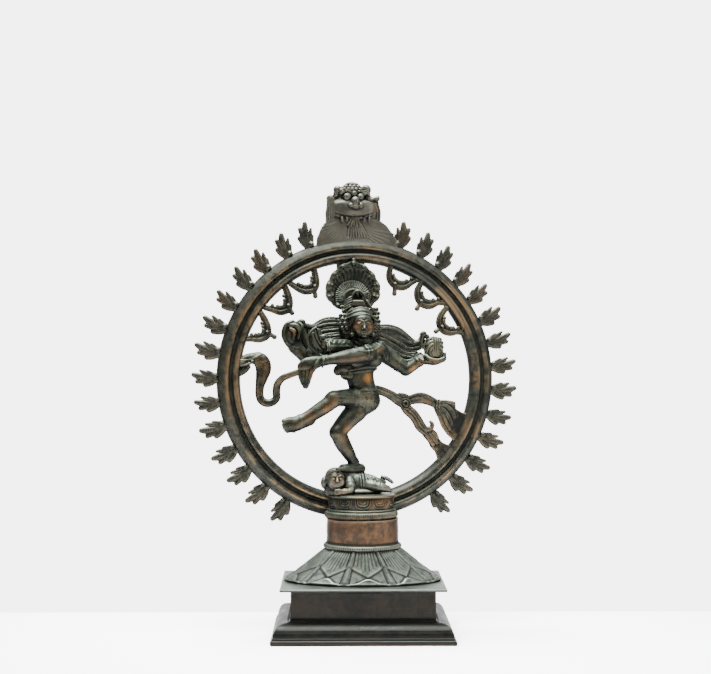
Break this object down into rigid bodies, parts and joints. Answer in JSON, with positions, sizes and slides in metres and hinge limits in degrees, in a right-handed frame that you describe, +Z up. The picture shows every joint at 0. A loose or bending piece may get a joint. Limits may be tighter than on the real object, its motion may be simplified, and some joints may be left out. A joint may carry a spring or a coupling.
{
  "type": "dancing shiva figure",
  "caption": "Cast bronze dancer in a flaming ring above a small demon, on a lotus pedestal and a square moulded plinth; stands by its own weight.",
  "frame": {"origin": "centre of the plinth's flat underside", "axes": "+Z up, the figure's front towards -Y, +X to the right as seen from the front"},
  "size_m": [0.3299, 0.145, 0.4506],
  "materials": {
    "casting_bronze": "old dark bronze, rubbed copper-brown on the high spots, pale green in the hollows",
    "pedestal_bronze": "reddish-brown collar over a grey-green lotus skirt, worn metal on the ridges",
    "plinth_bronze": "dark brown-green bronze with reddish patches and pale scuffed edges"
  },
  "bodies": {
    "root": {"square_plinth": "plinth_bronze", "lotus_pedestal": "pedestal_bronze", "dancer_and_flame_ring": "casting_bronze"}
  },
  "joints": []
}
